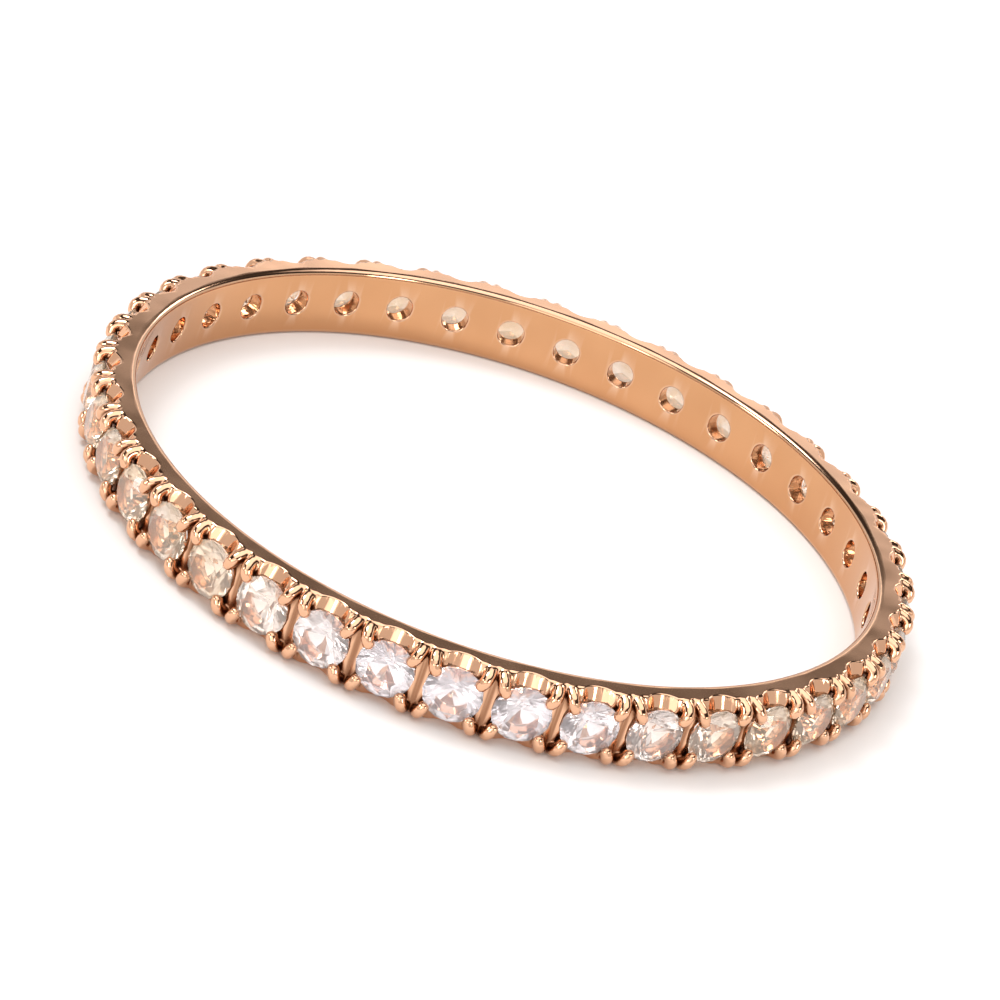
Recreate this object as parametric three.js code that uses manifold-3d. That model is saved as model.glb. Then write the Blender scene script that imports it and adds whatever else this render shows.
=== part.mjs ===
// A stone-set eternity band that stacks with others of its kind, lying on its side.
// Millimetres, +Z up along the ring's axis; the origin is the middle of the lower side face's plane.
import * as THREE from "three";
import { mergeVertices } from "three/addons/utils/BufferGeometryUtils.js";
import Module from "manifold-3d";

// Band
const INNER_RADIUS = 8.65; // a 17.3 mm finger hole
const WIDTH = 1.7; // between the two side faces
const SHOULDER_RADIUS = 9.2; // where the flat side faces end
const OUTER_RADIUS = 9.32; // top of the metal between the stones
const SHOULDER_WIDTH = 1.24; // width of the band at its outer radius
const EDGE_CHAMFER = 0.05; // on the two inner edges
const RING_SEGMENTS_PER_STONE = 2;

// Stones
const STONE_COUNT = 39;
const STONE_RADIUS = 0.65;
const GIRDLE_RADIUS = 9.38; // distance of each girdle's middle from the ring's axis
const GIRDLE_HALF = 0.02; // half the girdle's thickness
const CROWN_ANGLE = THREE.MathUtils.degToRad(34);
const PAVILION_ANGLE = THREE.MathUtils.degToRad(40.8);
const TABLE_RADIUS = 0.57 * STONE_RADIUS;
const STAR_RADIUS = 0.8 * STONE_RADIUS; // where star, kite and upper girdle facets meet
const LOWER_HALF_RADIUS = 0.22 * STONE_RADIUS; // where the lower girdle facets end
const STONE_TURN = THREE.MathUtils.degToRad(137.5); // from one stone to the next, about its own axis

// Seats
const SEAT_GAP = 0.025; // between stone and metal
const SEAT_SIDES = 10;
const HOLE_RADIUS = 0.31; // through the inner wall, behind each stone

// Scallops, one beside each stone at both edges
const SCALLOP_RADIUS = 0.52;
const SCALLOP_FLOOR_EDGE = 9.05; // distance of the floor from the ring's axis, at the side face
const SCALLOP_SLOPE = THREE.MathUtils.degToRad(25); // the floor rises towards the stone
const SCALLOP_LENGTH = 0.9;
const SCALLOP_SIDES = 8;

// Prongs: each leans from the band's edge over its stone's rim
const PRONG_RADIUS = 0.14;
const PRONG_TIP_RADIUS = 0.125;
const PRONG_SIDES = 4;
const PRONG_ROOT = { along: 0.13, radius: 9.1, across: 0.705 };
const PRONG_TIP = { along: 0.245, radius: 9.59, across: 0.5 };

const PITCH_ANGLE = (2 * Math.PI) / STONE_COUNT;
const CROWN_HEIGHT = (STONE_RADIUS - TABLE_RADIUS) * Math.tan(CROWN_ANGLE);
const PAVILION_DEPTH = STONE_RADIUS * Math.tan(PAVILION_ANGLE);

const metal = new THREE.MeshStandardMaterial({ color: 0xd99a72, roughness: 0.18, metalness: 1 });
const gem = new THREE.MeshStandardMaterial({ color: 0xf1dfe0, roughness: 0.05, metalness: 0 });

const wasm = await Module();
wasm.setup();

// A closed three.js geometry as a manifold-3d solid.
function solid(geometry) {
  const bare = geometry.clone();
  bare.deleteAttribute("normal");
  bare.deleteAttribute("uv");
  const merged = mergeVertices(bare, 1e-5);
  return new wasm.Manifold(
    new wasm.Mesh({
      numProp: 3,
      vertProperties: merged.getAttribute("position").array,
      triVerts: new Uint32Array(merged.index.array),
    }),
  );
}

function geometryOf(manifold) {
  const mesh = manifold.getMesh();
  const geometry = new THREE.BufferGeometry();
  geometry.setAttribute("position", new THREE.BufferAttribute(mesh.vertProperties, 3));
  geometry.setIndex(new THREE.BufferAttribute(mesh.triVerts, 1));
  geometry.computeVertexNormals();
  return geometry;
}

// A profile of [radius, height] pairs turned about +Y.
function turned(profile, segments) {
  return new THREE.LatheGeometry(
    profile.map(([radius, height]) => new THREE.Vector2(radius, height)),
    segments,
  );
}

// The frame of a stone: +Y points away from the ring's axis through the stone, +Z stays up.
function stoneFrame(index) {
  return new THREE.Matrix4()
    .makeRotationZ(index * PITCH_ANGLE - Math.PI / 2)
    .multiply(new THREE.Matrix4().makeTranslation(0, GIRDLE_RADIUS, WIDTH / 2));
}

function blank() {
  const half = WIDTH / 2;
  const top = SHOULDER_WIDTH / 2;
  const profile = [
    [INNER_RADIUS, EDGE_CHAMFER - half],
    [INNER_RADIUS + EDGE_CHAMFER, -half],
    [SHOULDER_RADIUS, -half],
    [OUTER_RADIUS, -top],
    [OUTER_RADIUS, top],
    [SHOULDER_RADIUS, half],
    [INNER_RADIUS + EDGE_CHAMFER, half],
    [INNER_RADIUS, half - EDGE_CHAMFER],
    [INNER_RADIUS, EDGE_CHAMFER - half],
  ];
  return turned(profile, RING_SEGMENTS_PER_STONE * STONE_COUNT)
    .rotateX(Math.PI / 2)
    .translate(0, 0, half);
}

// The stone's own outline with the gap around it, and the hole behind it.
function seatCutter() {
  const grow = 1 / Math.cos(Math.PI / SEAT_SIDES); // flats, not corners, clear the stone
  const rim = (STONE_RADIUS + SEAT_GAP) * grow;
  const hole = HOLE_RADIUS * grow;
  const ledge = -GIRDLE_HALF - SEAT_GAP;
  const coneFoot = ledge - (rim - hole) * Math.tan(PAVILION_ANGLE);
  const profile = [
    [0, INNER_RADIUS - GIRDLE_RADIUS - 0.2],
    [hole, INNER_RADIUS - GIRDLE_RADIUS - 0.2],
    [hole, coneFoot],
    [rim, ledge],
    [rim, GIRDLE_HALF],
    [TABLE_RADIUS * grow, GIRDLE_HALF + SEAT_GAP + CROWN_HEIGHT],
    [0, GIRDLE_HALF + SEAT_GAP + CROWN_HEIGHT],
  ];
  return turned(profile, SEAT_SIDES);
}

// One edge's scallop cutter in a stone's frame; side is 1 for the upper edge and -1 for the lower.
function scallopCutter(side) {
  return new THREE.CylinderGeometry(SCALLOP_RADIUS, SCALLOP_RADIUS, SCALLOP_LENGTH, SCALLOP_SIDES)
    .rotateX(Math.PI / 2)
    .translate(0, SCALLOP_RADIUS, 0)
    .rotateX(side * SCALLOP_SLOPE)
    .translate(0, SCALLOP_FLOOR_EDGE - GIRDLE_RADIUS, (side * WIDTH) / 2);
}

// A point beside a stone in the stone's frame. along is measured round the ring from the plane
// halfway to the next stone, radius from the ring's axis and across from the middle of the width.
function prongPoint({ along, radius, across }, sideways, edge) {
  const angle = PITCH_ANGLE / 2 - along / radius;
  return new THREE.Vector3(
    sideways * radius * Math.sin(angle),
    radius * Math.cos(angle) - GIRDLE_RADIUS,
    edge * across,
  );
}

// One prong in a stone's frame; sideways and edge are 1 or -1.
function prong(sideways, edge) {
  const root = prongPoint(PRONG_ROOT, sideways, edge);
  const tip = prongPoint(PRONG_TIP, sideways, edge);
  const lean = new THREE.Quaternion().setFromUnitVectors(
    new THREE.Vector3(0, 1, 0),
    tip.clone().sub(root).normalize(),
  );
  const length = root.distanceTo(tip);
  return new THREE.CylinderGeometry(PRONG_TIP_RADIUS, PRONG_RADIUS, length, PRONG_SIDES)
    .translate(0, length / 2, 0)
    .applyQuaternion(lean)
    .translate(...root.toArray());
}

// Copies of a stone-frame solid, one at each stone.
function atEveryStone(shape) {
  const copies = [];
  for (let index = 0; index < STONE_COUNT; index++) {
    copies.push(shape.transform(stoneFrame(index).elements));
  }
  return copies;
}

function band() {
  let body = solid(blank());
  for (const edge of [1, -1]) {
    for (const cutter of atEveryStone(solid(scallopCutter(edge)))) {
      body = body.subtract(cutter);
    }
    for (const sideways of [1, -1]) {
      for (const claw of atEveryStone(solid(prong(sideways, edge)))) {
        body = body.add(claw);
      }
    }
  }
  for (const cutter of atEveryStone(solid(seatCutter()))) {
    body = body.subtract(cutter);
  }
  return geometryOf(body);
}

// A round brilliant about +Y, with the middle of its girdle at the origin.
function brilliant() {
  const main = Math.PI / 4; // angle between neighbouring main facets
  const crownRise = (radius) => (STONE_RADIUS - radius) * Math.tan(CROWN_ANGLE);
  const pavilionDrop = (radius) => (STONE_RADIUS - radius) * Math.tan(PAVILION_ANGLE);
  const points = [];
  const ring = (count, firstAngle, radius, height) => {
    const first = points.length;
    for (let k = 0; k < count; k++) {
      const angle = firstAngle + (2 * Math.PI * k) / count;
      points.push(radius * Math.cos(angle), height, -radius * Math.sin(angle));
    }
    return (k) => first / 3 + (k % count);
  };
  // Star and lower-half corners lie in the planes of the main facets on each side of them.
  const inMainPlane = Math.cos(main / 2);
  const table = ring(8, 0, TABLE_RADIUS, GIRDLE_HALF + CROWN_HEIGHT);
  const star = ring(8, main / 2, STAR_RADIUS, GIRDLE_HALF + crownRise(STAR_RADIUS * inMainPlane));
  const upper = ring(16, 0, STONE_RADIUS, GIRDLE_HALF);
  const lower = ring(16, 0, STONE_RADIUS, -GIRDLE_HALF);
  const halfDrop = pavilionDrop(LOWER_HALF_RADIUS * inMainPlane);
  const half = ring(8, main / 2, LOWER_HALF_RADIUS, -GIRDLE_HALF - halfDrop);
  const culet = ring(1, 0, 0, -GIRDLE_HALF - PAVILION_DEPTH)(0);
  const index = [];
  for (let k = 0; k < 8; k++) {
    const g = 2 * k;
    if (k > 0 && k < 7) index.push(table(0), table(k), table(k + 1)); // table
    index.push(table(k), star(k), table(k + 1)); // star
    index.push(table(k), upper(g), star(k), table(k), star(k + 7), upper(g)); // kite
    index.push(star(k), upper(g), upper(g + 1), star(k), upper(g + 1), upper(g + 2)); // upper girdle
    index.push(half(k), lower(g + 1), lower(g), half(k), lower(g + 2), lower(g + 1)); // lower half
    index.push(culet, half(k), lower(g), culet, lower(g), half(k + 7)); // pavilion main
  }
  for (let g = 0; g < 16; g++) {
    index.push(upper(g), lower(g), lower(g + 1), upper(g), lower(g + 1), upper(g + 1)); // girdle
  }
  const geometry = new THREE.BufferGeometry();
  geometry.setAttribute("position", new THREE.Float32BufferAttribute(points, 3));
  geometry.setIndex(index);
  const faceted = geometry.toNonIndexed();
  faceted.computeVertexNormals();
  return faceted;
}

const ringGroup = new THREE.Group();

const bandMesh = new THREE.Mesh(band(), metal.clone());
bandMesh.name = "band";
ringGroup.add(bandMesh);

for (let index = 0; index < STONE_COUNT; index++) {
  const seat = new THREE.Group();
  stoneFrame(index).decompose(seat.position, seat.quaternion, seat.scale);
  const stone = new THREE.Mesh(brilliant(), gem.clone());
  stone.name = "stone_" + String(index + 1).padStart(2, "0");
  stone.rotation.y = index * STONE_TURN;
  seat.add(stone);
  ringGroup.add(seat);
}

export default ringGroup;
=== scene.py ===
"""Looks of the stone-set stacking ring: a finely modelled rose-gold band round the cut stones."""

import math

import bpy
import numpy as np
from mathutils import Matrix, Vector


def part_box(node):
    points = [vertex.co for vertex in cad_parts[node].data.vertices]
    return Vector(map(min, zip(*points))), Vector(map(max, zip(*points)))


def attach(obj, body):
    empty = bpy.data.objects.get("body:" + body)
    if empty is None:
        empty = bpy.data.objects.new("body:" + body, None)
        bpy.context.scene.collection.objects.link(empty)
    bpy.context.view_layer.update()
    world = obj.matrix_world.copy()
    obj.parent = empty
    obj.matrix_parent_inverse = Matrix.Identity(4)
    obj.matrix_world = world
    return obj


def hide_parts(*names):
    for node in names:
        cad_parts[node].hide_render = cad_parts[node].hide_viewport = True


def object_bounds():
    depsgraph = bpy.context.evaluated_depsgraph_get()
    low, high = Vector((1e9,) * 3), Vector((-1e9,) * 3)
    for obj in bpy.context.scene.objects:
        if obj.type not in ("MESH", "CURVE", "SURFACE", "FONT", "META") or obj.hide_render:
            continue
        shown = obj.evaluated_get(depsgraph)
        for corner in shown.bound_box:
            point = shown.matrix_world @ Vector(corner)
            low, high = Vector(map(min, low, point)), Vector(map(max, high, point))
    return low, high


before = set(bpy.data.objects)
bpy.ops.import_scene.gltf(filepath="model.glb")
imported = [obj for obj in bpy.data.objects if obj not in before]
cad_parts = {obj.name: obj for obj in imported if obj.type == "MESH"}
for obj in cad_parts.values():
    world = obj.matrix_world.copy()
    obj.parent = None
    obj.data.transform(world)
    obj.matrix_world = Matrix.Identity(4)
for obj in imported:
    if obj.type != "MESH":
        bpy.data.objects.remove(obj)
cad_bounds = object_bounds()

MM = 0.001  # metres in a millimetre; the band is worked out in millimetres

# The part's own sizes, in millimetres
STONES = sorted(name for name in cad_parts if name.startswith("stone_"))
PITCH = 2 * math.pi / len(STONES)  # angle from one stone to the next, about the ring's axis
BAND_LOW, BAND_HIGH = (Vector(corner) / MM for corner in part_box("band"))
WIDTH = BAND_HIGH.z - BAND_LOW.z
INNER_RADIUS = 8.65
SHOULDER_RADIUS = 9.2  # the flat side faces end here
OUTER_RADIUS = 9.32  # top of the metal between the stones
SHOULDER_HALF = 0.62  # half the width of the band at its outer radius
STONE_RADIUS = 0.65
GIRDLE_RADIUS = 9.38  # distance of a girdle's middle from the ring's axis
CROWN_SLOPE = math.radians(34)
PAVILION_SLOPE = math.radians(40.8)
SEAT_GAP = 0.012  # between stone and metal
GIRDLE_HALF = 0.02
HOLE_RADIUS = 0.31
HOLE_TOP = -0.1  # where the hole ends in the seat, from the girdle's middle

# Scallops beside the stones: a round-bottomed cut whose floor rises towards the stone
SCALLOP_RADIUS = 0.52
SCALLOP_FLOOR = 9.05
SCALLOP_SLOPE = math.radians(25)

# Prongs: each follows a curve that leaves its root towards its bend and ends at its tip, over the
# stone's rim. (distance from the plane halfway between stones, from the ring's axis, from mid-width)
PRONG_ROOT = (0.130, 9.02, 0.715)
PRONG_BEND = (0.140, 9.58, 0.700)
PRONG_TIP = (0.262, 9.485, 0.460)
PRONG_ROOT_RADIUS = 0.150
PRONG_TIP_RADIUS = 0.132
PRONG_STEPS = 7

# Channel across the web between two stones
CHANNEL_RADIUS = 0.2
CHANNEL_DEPTH = 0.025

# Grid that the surface is found on: coarser cells inwards of FINE_RADIUS and finer ones beyond it
TURN_CELLS = 46
ACROSS_CELLS = 54
INNER_CELLS = 6
OUTER_CELLS = 22
FINE_RADIUS = 9.0
ACROSS_MARGIN = 0.03  # of the grid past the side faces, in millimetres
INNER_MARGIN = 0.04  # and past the inner wall
GRID_TOP = 9.67  # just past the prongs

# Surface found on it
NORMAL_STEP = 0.001  # half the distance that a slope is measured over, in millimetres
SURFACE_STEPS = 3  # taken to bring a point onto the surface
MIDDLE_PULL = 0.08  # of the middle of a corner's crossings, against the planes that they lie on
LONGEST_SHIFT = 0.03  # of a corner from that middle, in millimetres
FACES_KEPT = 0.24  # share of the faces
CORNER_INSET = 0.15  # share of the way to a face's middle at which its corners are shaded

# Distances over which the room in front of the metal is looked at, and the metal behind an edge
CREVICE_REACHES = (0.06, 0.14, 0.28, 0.45)
EDGE_REACH = 0.05
INNER_SHADE_DEPTH = 0.15  # over which the inner wall's painted shade fades out

# How far corners are rounded, in millimetres
ROUND_INNER_EDGE = 0.16
ROUND_SHOULDER = 0.05
ROUND_CUT = 0.03
ROUND_HOLE = 0.05
ROUND_PRONG_PAIR = 0.04
ROUND_PRONG_FOOT = 0.05


# --- implicit shape of the band --------------------------------------------------------------------


def smooth_max(a, b, size):
    """The larger of two distances, with the corner between them rounded off over size."""
    overlap = np.maximum(size - np.abs(a - b), 0) / size
    return np.maximum(a, b) + overlap * overlap * size / 4


def smooth_min(a, b, size):
    return -smooth_max(-a, -b, size)


def prong_path(side):
    """Points along a prong's middle in its stone's frame, and its radius at each.

    side is 1 for the stone's own prong and -1 for the next stone's, beyond the plane between them.
    """
    path = []
    for step in range(PRONG_STEPS + 1):
        t = step / PRONG_STEPS
        along, radius, across = (
            (1 - t) ** 2 * root + 2 * t * (1 - t) * bend + t * t * tip
            for root, bend, tip in zip(PRONG_ROOT, PRONG_BEND, PRONG_TIP)
        )
        angle = PITCH / 2 - side * along / radius
        thickness = PRONG_ROOT_RADIUS + t * (PRONG_TIP_RADIUS - PRONG_ROOT_RADIUS)
        path.append((np.array([radius * math.sin(angle), radius * math.cos(angle), across]), thickness))
    return path


def prong_distance(here, side):
    """Distance from points in a stone's frame to a prong."""
    path = prong_path(side)
    distance = np.inf
    for (start, start_radius), (end, end_radius) in zip(path, path[1:]):
        step = end - start
        share = np.clip((here - start) @ step / (step @ step), 0, 1)
        gap = np.linalg.norm(here - start - share[..., None] * step, axis=-1)
        distance = np.minimum(distance, gap - start_radius - share * (end_radius - start_radius))
    return distance


def seat_distance(tangent, height, across):
    """Distance to the room cut for a stone: its crown, its pavilion and the girdle between them."""
    spread = np.hypot(tangent, across)
    rim = STONE_RADIUS + SEAT_GAP
    ledge = GIRDLE_HALF + SEAT_GAP
    wall = spread - rim
    pavilion = (-ledge - (rim - spread) * math.tan(PAVILION_SLOPE) - height) * math.cos(PAVILION_SLOPE)
    crown = (height - ledge - (rim - spread) * math.tan(CROWN_SLOPE)) * math.cos(CROWN_SLOPE)
    return np.maximum(np.maximum(wall, pavilion), crown)


def blank_distance(radius, side):
    """Distance to the plain ring with its shoulders; side is how far past the side face a point is."""
    slope = math.atan2(OUTER_RADIUS - SHOULDER_RADIUS, WIDTH / 2 - SHOULDER_HALF)
    shoulder = (radius - SHOULDER_RADIUS) * math.cos(slope) + side * math.sin(slope)
    top = smooth_max(radius - OUTER_RADIUS, shoulder, ROUND_SHOULDER)
    return smooth_max(smooth_max(INNER_RADIUS - radius, side, ROUND_INNER_EDGE), top, ROUND_SHOULDER)


def cut_blank_distance(turn, radius, across):
    """Distance to the ring once its scallops and the channels between stones are cut."""
    side = across - WIDTH / 2
    lift = (radius * np.cos(turn) - SCALLOP_FLOOR) * math.cos(SCALLOP_SLOPE) + side * math.sin(SCALLOP_SLOPE)
    scallop = np.hypot(radius * np.sin(turn), lift - SCALLOP_RADIUS) - SCALLOP_RADIUS
    body = smooth_max(blank_distance(radius, side), -scallop, ROUND_CUT)
    channel_middle = OUTER_RADIUS - CHANNEL_DEPTH + CHANNEL_RADIUS
    channel = np.hypot(radius * np.sin(PITCH / 2 - turn), radius - channel_middle) - CHANNEL_RADIUS
    return smooth_max(body, -channel, ROUND_CUT)


def metal_distance(points):
    """Distance from points (x, y, z from mid-width) to the band's surface, negative in the metal."""
    radius = np.hypot(points[..., 0], points[..., 1])
    turn = np.arctan2(points[..., 1], points[..., 0])
    turn = np.abs((turn + PITCH / 2) % PITCH - PITCH / 2)
    across = np.abs(points[..., 2])
    tangent = radius * np.sin(turn)
    radial = radius * np.cos(turn)
    height = radial - GIRDLE_RADIUS

    body = cut_blank_distance(turn, radius, across)

    # Prongs of this stone and of the next one
    here = np.stack([tangent, radial, across], axis=-1)
    prongs = smooth_min(prong_distance(here, 1), prong_distance(here, -1), ROUND_PRONG_PAIR)
    body = np.maximum(smooth_min(body, prongs, ROUND_PRONG_FOOT), across - WIDTH / 2)

    # The stone's seat, and the hole behind it
    body = smooth_max(body, -seat_distance(tangent, height, across), ROUND_CUT)
    hole = np.maximum(np.hypot(tangent, across) - HOLE_RADIUS, height - HOLE_TOP)
    return smooth_max(body, -hole, ROUND_HOLE)


def metal_normals(points):
    """Outward directions of the band's surface, from differences of the distance."""
    axes = NORMAL_STEP * np.eye(3)
    slopes = [metal_distance(points + axis) - metal_distance(points - axis) for axis in axes]
    normals = np.stack(slopes, axis=-1)
    return normals / np.maximum(np.linalg.norm(normals, axis=-1, keepdims=True), 1e-12)


# --- surface of the implicit shape ------------------------------------------------------------------


def bay_grid():
    """Grid lines of one stone's bay: turn in radians, across and radius in millimetres."""
    turn = np.linspace(-0.5, 0.5, TURN_CELLS + 1) * PITCH
    across = np.linspace(-1, 1, ACROSS_CELLS + 1) * (WIDTH / 2 + ACROSS_MARGIN)
    inner = np.linspace(INNER_RADIUS - INNER_MARGIN, FINE_RADIUS, INNER_CELLS + 1)
    outer = np.linspace(FINE_RADIUS, GRID_TOP, OUTER_CELLS + 1)
    return turn, across, np.concatenate([inner, outer[1:]])


def on_surface(points):
    """Moves points the last small way onto the metal's surface."""
    for _ in range(SURFACE_STEPS):
        points = points - metal_distance(points)[..., None] * metal_normals(points)
    return points


def crossed_edges(nodes, value, axis):
    """The grid's edges along one axis that cross the surface.

    Returns the number of each edge's first node, its crossing, the four cells round it in order, and
    whether it leaves the metal.
    """
    low = [slice(None)] * 3
    high = [slice(None)] * 3
    low[axis], high[axis] = slice(None, -1), slice(1, None)
    first, second = value[tuple(low)], value[tuple(high)]
    found = np.argwhere((first < 0) != (second < 0))
    spot = tuple(found.T)
    start, end = nodes[tuple(low)][spot], nodes[tuple(high)][spot]
    first, second = first[spot], second[spot]
    share = first / (first - second)
    crossing = on_surface(start + share[:, None] * (end - start))
    around = []
    for step_other, step_last in ((-1, -1), (0, -1), (0, 0), (-1, 0)):
        cell = found.copy()
        cell[:, (axis + 1) % 3] += step_other
        cell[:, (axis + 2) % 3] += step_last
        around.append(cell)
    return found, crossing, np.stack(around, axis=1), first < 0


def cell_corners(edges, cells):
    """The cells that crossed edges touch, and the place where the tangent planes in each one meet."""
    planes = np.zeros((*cells, 3, 3))
    target = np.zeros((*cells, 3))
    total = np.zeros((*cells, 3))
    count = np.zeros(cells)
    for _, crossing, around, _ in edges:
        normal = metal_normals(crossing)
        for cell in np.moveaxis(around, 1, 0):
            inside = np.all((cell >= 0) & (cell < cells), axis=1)
            spot = tuple(cell[inside].T)
            plane = normal[inside][:, :, None] * normal[inside][:, None, :]
            np.add.at(planes, spot, plane)
            np.add.at(target, spot, np.einsum("nij,nj->ni", plane, crossing[inside]))
            np.add.at(total, spot, crossing[inside])
            np.add.at(count, spot, 1)
    used = np.argwhere(count > 0)
    spot = tuple(used.T)
    middle = total[spot] / count[spot][:, None]
    pull = MIDDLE_PULL * np.eye(3)
    place = np.linalg.solve(planes[spot] + pull, (target[spot] + middle @ pull)[..., None])[..., 0]
    shift = place - middle
    length = np.linalg.norm(shift, axis=1, keepdims=True)
    return used, middle + shift * np.minimum(1, LONGEST_SHIFT / np.maximum(length, 1e-9))


def bay_surface():
    """The surface of one bay as quads that join the next bay's, by dual contouring.

    Returns the corner places, and for each quad the bay step (-1, 0) and number of each corner.
    """
    turn, across, radius = bay_grid()
    # One more column of cells before and after, so that each cell of the bay sees all its edges
    turn = np.concatenate([[turn[-2] - PITCH], turn, [turn[1] + PITCH]])
    grid = np.meshgrid(turn, across, radius, indexing="ij")
    nodes = np.stack([grid[2] * np.cos(grid[0]), grid[2] * np.sin(grid[0]), grid[1]], axis=-1)
    value = metal_distance(nodes)
    cells = np.array(value.shape) - 1
    edges = [crossed_edges(nodes, value, axis) for axis in range(3)]
    used, place = cell_corners(edges, cells)

    own = (used[:, 0] >= 1) & (used[:, 0] < cells[0] - 1)
    number = -np.ones(cells, dtype=int)
    number[tuple(used[own].T)] = np.arange(own.sum())
    columns = cells[0] - 2
    steps, quads = [], []
    for found, _, around, leaving in edges:
        # A grid line that two bays share belongs to the later one
        ours = (found[:, 0] >= 1) & (found[:, 0] < cells[0] - 1)
        corners = np.where(leaving[ours][:, None, None], around[ours], around[ours][:, ::-1])
        before = corners[..., 0] < 1
        corners[..., 0] += before * columns
        steps.append(-before.astype(int))
        quads.append(number[tuple(np.moveaxis(corners, -1, 0))])
    return place[own], np.concatenate(steps), np.concatenate(quads)


def crevice_depth(points):
    """How shut in each point of the surface is, from 0 on open faces to 1 in the narrowest gaps."""
    normals = metal_normals(points)
    shut = 0
    for reach in CREVICE_REACHES:
        shut = shut + 1 - np.clip(metal_distance(points + reach * normals) / reach, 0, 1)
    return shut / len(CREVICE_REACHES)


def turned_about_axis(vectors, angle):
    """The vectors turned about the ring's axis."""
    spin = np.array(Matrix.Rotation(angle, 3, "Z"))
    return vectors @ spin.T


def edge_sharpness(points):
    """How sharp an outer edge each point of the surface is on, from 0 to 1."""
    behind = metal_distance(points - EDGE_REACH * metal_normals(points))
    return 1 - np.clip(-behind / EDGE_REACH, 0, 1)


def inner_shade_share(points):
    """Share of the inner wall's painted shade: 1 on the wall that lies on the finger, fading to 0 towards
    the outside.
    """
    depth = np.hypot(points[..., 0], points[..., 1]) - INNER_RADIUS
    return 1 - np.clip(depth / INNER_SHADE_DEPTH, 0, 1)


def whole_band():
    """The quads of the whole band as a mesh, in millimetres from mid-width."""
    places, steps, quads = bay_surface()
    count = len(STONES)
    all_places = np.concatenate([turned_about_axis(places, bay * PITCH) for bay in range(count)])
    all_quads = np.concatenate([(bay + steps) % count * len(places) + quads for bay in range(count)])
    mesh = bpy.data.meshes.new("ring_band")
    mesh.from_pydata(all_places.tolist(), [], all_quads.tolist())
    return mesh


def thinned(mesh, share):
    """The mesh as triangles, with only a share of them kept and fewest where it is flattest."""
    holder = bpy.data.objects.new(mesh.name, mesh)
    bpy.context.scene.collection.objects.link(holder)
    thinner = holder.modifiers.new("thin", "DECIMATE")
    thinner.ratio = share
    thinner.use_collapse_triangulate = True
    depsgraph = bpy.context.evaluated_depsgraph_get()
    thin = bpy.data.meshes.new_from_object(holder.evaluated_get(depsgraph))
    bpy.data.objects.remove(holder)
    bpy.data.meshes.remove(mesh)
    thin.name = "ring_band"
    return thin


def corner_directions(places, triangles):
    """The surface's true direction at each corner of each triangle, taken just inside the corner."""
    corners = places[triangles]
    inside = corners + CORNER_INSET * (corners.mean(axis=1, keepdims=True) - corners)
    return metal_normals(inside.reshape(-1, 3))


def add_values(mesh, name, values):
    """Stores a number for each of the mesh's points, for the materials to read."""
    mesh.attributes.new(name, "FLOAT", "POINT").data.foreach_set("value", values.astype(np.float32))


def band_mesh():
    """The whole band in metres, shaded by its true surface directions."""
    mesh = thinned(whole_band(), FACES_KEPT)
    places = np.empty(3 * len(mesh.vertices))
    mesh.vertices.foreach_get("co", places)
    places = places.reshape(-1, 3)
    places[:, 2] = np.clip(places[:, 2], -WIDTH / 2, WIDTH / 2)
    triangles = np.empty(len(mesh.loops), dtype=int)
    mesh.loops.foreach_get("vertex_index", triangles)
    directions = corner_directions(places, triangles.reshape(-1, 3))
    # Masks for the painted shade in the crevices and on the inner wall, and for the painted highlight along
    # sharp edges
    add_values(mesh, "crevice", crevice_depth(places))
    add_values(mesh, "edge", edge_sharpness(places))
    add_values(mesh, "inner", inner_shade_share(places))
    mesh.vertices.foreach_set("co", ((places + (0, 0, WIDTH / 2)) * MM).ravel())
    mesh.shade_smooth()
    mesh.normals_split_custom_set(directions.tolist())
    mesh.update()
    return mesh


def make_band(material):
    """The finely modelled band, in place of the plain one."""
    band = bpy.data.objects.new("ring_band", band_mesh())
    bpy.context.scene.collection.objects.link(band)
    band.data.materials.append(material)
    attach(band, "root")
    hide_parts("band")


def finish_stones(material):
    """The stones are the CAD's own solids, whose facets are their true shape."""
    for name in STONES:
        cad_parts[name].data.materials.clear()
        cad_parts[name].data.materials.append(material)


# --- materials --------------------------------------------------------------------------------------

# Rose gold; each tone runs from one colour to another in soft patches
OUTSIDE_TONE = ((0.74, 0.420, 0.252), (0.83, 0.500, 0.325))
# The inside tone is a painted shade: a darker, deeper copy of the gold for the inner wall
INNER_WALL_SHADE_TONE = ((0.56, 0.285, 0.135), (0.66, 0.360, 0.185))
# Painted highlight: sharp edges turn pale, nearly white
EDGE_HIGHLIGHT = (0.99, 0.82, 0.70)
EDGE_HIGHLIGHT_SHARPNESS = (0.1, 0.7)  # of an edge where the painted highlight starts and where it is full
MOST_EDGE_HIGHLIGHT = 0.7
# Painted shade: the crevices are darkened towards dark brown, and made rougher
CREVICE_SHADE = (0.20, 0.075, 0.03)
CREVICE_SHADE_SPAN = (0.20, 0.80)  # depth of a crevice where the painted shade starts and where it is full
CREVICE_SHADE_ROUGHNESS = 0.22  # roughness added where the crevices' painted shade is full
HAZE_SCALE = 700.0  # patches a metre
HAZE_SPAN = (0.3, 0.7)  # part of the noise that the roughness runs over
HAZE_ROUGHNESS = (0.06, 0.12)
DIMPLE_SCALE = 900.0
DIMPLE_STRENGTH = 0.3
DIMPLE_DEPTH = 6e-6  # metres

# Stones: lilac-white in front, with a painted champagne reflection of the gold that grows with the distance
# from the ring's front, in metres
FRONT_HUE = (0.99, 0.95, 1.0)
FAR_REFLECTION_TINT = (1.0, 0.81, 0.60)
REFLECTION_DRIFT = (0.002, 0.007)
CLOUD_COLOUR = (1.0, 0.98, 0.98)
CLOUD_SCALE = 1500.0
CLOUD_SPAN = (0.35, 0.65)
MOST_CLOUD = 0.5


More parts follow.
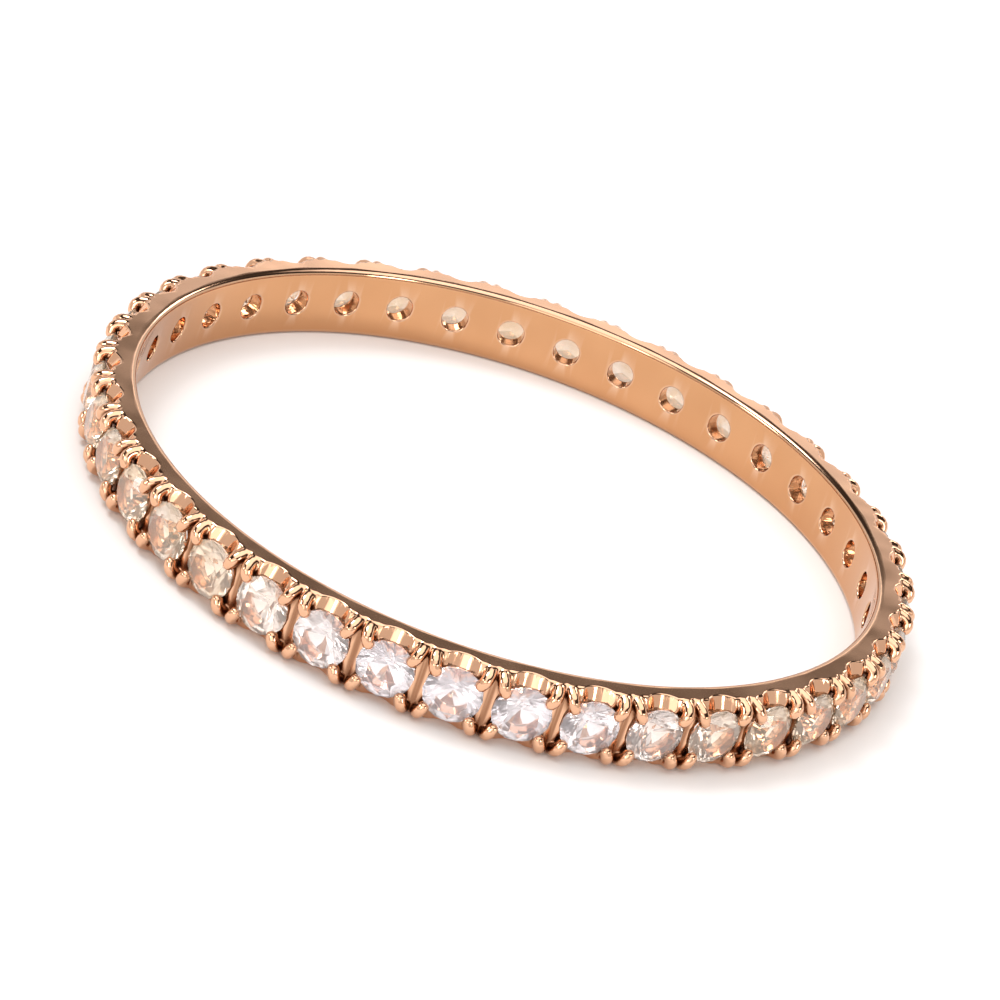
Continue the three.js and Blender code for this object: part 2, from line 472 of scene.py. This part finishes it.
def new_material(name, **values):
    """A material and its shader, whose sockets are named with _ for each space."""
    material = bpy.data.materials.new(name)
    material.use_nodes = True
    shader = material.node_tree.nodes["Principled BSDF"]
    for socket, value in values.items():
        shader.inputs[socket.replace("_", " ")].default_value = value
    return material, shader


def add_node(material, kind, **settings):
    """A node with the given sockets and properties."""
    node = material.node_tree.nodes.new(kind)
    for key, value in settings.items():
        if key in node.inputs:
            node.inputs[key].default_value = value
        else:
            setattr(node, key, value)
    return node


def add_mix(material, factor, first, second):
    """Mixes two colours by a factor; each is a socket or a plain colour."""
    links = material.node_tree.links
    mix = add_node(material, "ShaderNodeMix", data_type="RGBA")
    links.new(factor, mix.inputs["Factor"])
    for socket, colour in ((mix.inputs[6], first), (mix.inputs[7], second)):
        if isinstance(colour, tuple):
            socket.default_value = (*colour, 1)
        else:
            links.new(colour, socket)
    return mix.outputs[2]


def add_noise(material, scale, detail=2.0):
    """Noise that lies still on the object; scale is in lumps a metre."""
    place = add_node(material, "ShaderNodeTexCoord")
    noise = add_node(material, "ShaderNodeTexNoise", Scale=scale, Detail=detail)
    material.node_tree.links.new(place.outputs["Object"], noise.inputs["Vector"])
    return noise.outputs["Fac"]


def add_range(material, value, source, result=(0, 1)):
    """A value stretched from one range to another, easing in and out at its ends."""
    stretch = add_node(material, "ShaderNodeMapRange", interpolation_type="SMOOTHSTEP")
    for socket, number in zip(stretch.inputs[1:5], (*source, *result)):
        socket.default_value = number
    material.node_tree.links.new(value, stretch.inputs["Value"])
    return stretch.outputs["Result"]


def add_band_value(material, name):
    """A number stored on the band's points."""
    return add_node(material, "ShaderNodeAttribute", attribute_name=name).outputs["Fac"]


def rose_gold():
    """Polished rose gold, with painted shade: darker and deeper on the inner wall, dull brown in the
    crevices; and a painted highlight, pale along sharp edges.
    """
    material, shader = new_material("rose_gold", Metallic=1.0)
    links = material.node_tree.links
    haze = add_noise(material, HAZE_SCALE)
    outside = add_mix(material, haze, *OUTSIDE_TONE)
    # The inner wall's painted shade: the darker, deeper inside tone
    inside = add_mix(material, haze, *INNER_WALL_SHADE_TONE)
    inner = add_range(material, add_band_value(material, "inner"), (0, 1))
    # Painted highlight along sharp edges
    edge_highlight = add_range(material, add_band_value(material, "edge"), EDGE_HIGHLIGHT_SHARPNESS, (0, MOST_EDGE_HIGHLIGHT))
    # Painted shade in the crevices, which also roughens them
    crevice_shade = add_range(material, add_band_value(material, "crevice"), CREVICE_SHADE_SPAN)
    highlighted = add_mix(material, edge_highlight, add_mix(material, inner, outside, inside), EDGE_HIGHLIGHT)
    links.new(add_mix(material, crevice_shade, highlighted, CREVICE_SHADE), shader.inputs["Base Color"])
    dull = add_node(material, "ShaderNodeMath", operation="MULTIPLY_ADD")
    dull.inputs[1].default_value = CREVICE_SHADE_ROUGHNESS
    links.new(crevice_shade, dull.inputs[0])
    links.new(add_range(material, haze, HAZE_SPAN, HAZE_ROUGHNESS), dull.inputs[2])
    links.new(dull.outputs["Value"], shader.inputs["Roughness"])
    bump = add_node(material, "ShaderNodeBump", Strength=DIMPLE_STRENGTH, Distance=DIMPLE_DEPTH)
    links.new(add_noise(material, DIMPLE_SCALE, 1.0), bump.inputs["Height"])
    links.new(bump.outputs["Normal"], shader.inputs["Normal"])
    return material


def pale_gem():
    """Pale brilliant-cut stones, faintly milky: lilac-white in front, with a painted champagne reflection of
    the gold further round.
    """
    material, shader = new_material("pale_gem", IOR=1.62, Roughness=0.02, Transmission_Weight=0.85)
    links = material.node_tree.links
    place = add_node(material, "ShaderNodeTexCoord")
    away = add_node(material, "ShaderNodeVectorMath", operation="DISTANCE")
    away.inputs[1].default_value = (0, cad_bounds[0].y, 0)
    links.new(place.outputs["Object"], away.inputs[0])
    # Painted reflection: the stones turn champagne further from the ring's front
    stone_tint_and_reflection = add_mix(material, add_range(material, away.outputs["Value"], REFLECTION_DRIFT), FRONT_HUE, FAR_REFLECTION_TINT)
    cloud = add_range(material, add_noise(material, CLOUD_SCALE), CLOUD_SPAN, (0, MOST_CLOUD))
    links.new(add_mix(material, cloud, stone_tint_and_reflection, CLOUD_COLOUR), shader.inputs["Base Color"])
    return material


# --- stage ------------------------------------------------------------------------------------------


FLOOR_REACH = 0.8  # metres from the middle to each side
FLOOR_COLOUR = (0.86, 0.85, 0.84, 1)


def make_floor():
    """A plain pale floor."""
    corners = [(x * FLOOR_REACH, y * FLOOR_REACH, 0) for x, y in ((-1, -1), (1, -1), (1, 1), (-1, 1))]
    mesh = bpy.data.meshes.new("floor")
    mesh.from_pydata(corners, [], [(0, 1, 2, 3)])
    floor = bpy.data.objects.new("floor", mesh)
    bpy.context.scene.collection.objects.link(floor)
    material, _ = new_material("floor_white", Base_Color=FLOOR_COLOUR, Roughness=0.6)
    mesh.materials.append(material)


# Suns: (azimuth and elevation that the light comes from, in degrees, its angle, strength, colour)
SUNS = (
    (150, 58, 24, 1.10, (0.97, 0.98, 1.0)),
    (-40, 22, 15, 0.40, (1.0, 0.95, 0.91)),
    (-118, 20, 9, 0.16, (1.0, 0.96, 0.93)),
    (-165, 26, 15, 0.40, (1.0, 0.97, 0.95)),
    (60, 30, 14, 0.25, (1.0, 0.94, 0.88)),
    (-105, 30, 50, 0.70, (1.0, 0.97, 0.96)),
)


def make_lights():
    """Wide soft suns all round."""
    for index, (azimuth, elevation, spread, strength, colour) in enumerate(SUNS):
        light = bpy.data.lights.new(f"sun_{index}", "SUN")
        light.angle = math.radians(spread)
        light.energy = strength
        light.color = colour
        lamp = bpy.data.objects.new(light.name, light)
        a, e = math.radians(azimuth), math.radians(elevation)
        source = Vector((math.cos(a) * math.cos(e), math.sin(a) * math.cos(e), math.sin(e)))
        lamp.rotation_euler = source.to_track_quat("Z", "Y").to_euler()
        bpy.context.scene.collection.objects.link(lamp)


# Studio seen in the metal: (sine of the elevation, brightness as a share of the brightest, its tint)
STUDIO = (
    (0.0, 0.40, (1.0, 0.95, 0.92)),
    (0.350, 0.42, (1.0, 0.95, 0.92)),
    (0.380, 0.80, (1.0, 0.96, 0.93)),
    (0.416, 0.80, (1.0, 0.96, 0.93)),
    (0.434, 0.115, (1.0, 0.93, 0.88)),
    (0.50, 0.080, (1.0, 0.92, 0.86)),
    (0.56, 0.02, (1.0, 0.80, 0.68)),
    (0.74, 0.03, (1.0, 0.84, 0.74)),
    (0.85, 1.0, (1.0, 0.965, 0.955)),
)
STUDIO_BRIGHTNESS = 2.0


def make_world():
    """A studio whose brightness depends only on the height above the horizon."""
    world = bpy.data.worlds.new("studio")
    bpy.context.scene.world = world
    world.use_nodes = True
    nodes, links = world.node_tree.nodes, world.node_tree.links
    background = nodes["Background"]
    place = nodes.new("ShaderNodeTexCoord")
    split = nodes.new("ShaderNodeSeparateXYZ")
    links.new(place.outputs["Generated"], split.inputs["Vector"])
    ramp = nodes.new("ShaderNodeValToRGB")
    elements = ramp.color_ramp.elements
    while len(elements) < len(STUDIO):
        elements.new(0.5)
    for element, (position, share, tint) in zip(elements, STUDIO):
        element.position = position
        element.color = (*(share * part for part in tint), 1)
    links.new(split.outputs["Z"], ramp.inputs["Fac"])
    links.new(ramp.outputs["Color"], background.inputs["Color"])
    background.inputs["Strength"].default_value = STUDIO_BRIGHTNESS


# Camera: where it stands as seen from the middle of the ring, and how far it leans
VIEW_AZIMUTH = math.radians(-94.92)
VIEW_ELEVATION = math.radians(26.34)
VIEW_ROLL = math.radians(19.6)
VIEW_DISTANCE = 14.46 * INNER_RADIUS * MM
FRAME_FILL = 0.86  # share of the picture's width that the ring takes


def make_camera():
    """Looks at the ring's middle, leaning sideways, and leaves a margin round the ring."""
    data = bpy.data.cameras.new("camera")
    camera = bpy.data.objects.new("camera", data)
    bpy.context.scene.collection.objects.link(camera)
    middle = (cad_bounds[0] + cad_bounds[1]) / 2
    level = VIEW_DISTANCE * math.cos(VIEW_ELEVATION)
    rise = VIEW_DISTANCE * math.sin(VIEW_ELEVATION)
    back = Vector((level * math.cos(VIEW_AZIMUTH), level * math.sin(VIEW_AZIMUTH), rise))
    camera.location = middle + back
    camera.rotation_mode = "QUATERNION"
    lean = Matrix.Rotation(VIEW_ROLL, 3, "Z").to_quaternion()
    camera.rotation_quaternion = back.to_track_quat("Z", "Y") @ lean
    ring_width = cad_bounds[1].x - cad_bounds[0].x
    data.angle = 2 * math.atan(ring_width / FRAME_FILL / 2 / VIEW_DISTANCE)
    data.clip_start = 0.01
    data.clip_end = 10
    bpy.context.scene.camera = camera


make_camera()
make_world()
make_lights()
make_floor()
make_band(rose_gold())
finish_stones(pale_gem())
bpy.context.scene.view_settings.view_transform = "Standard"
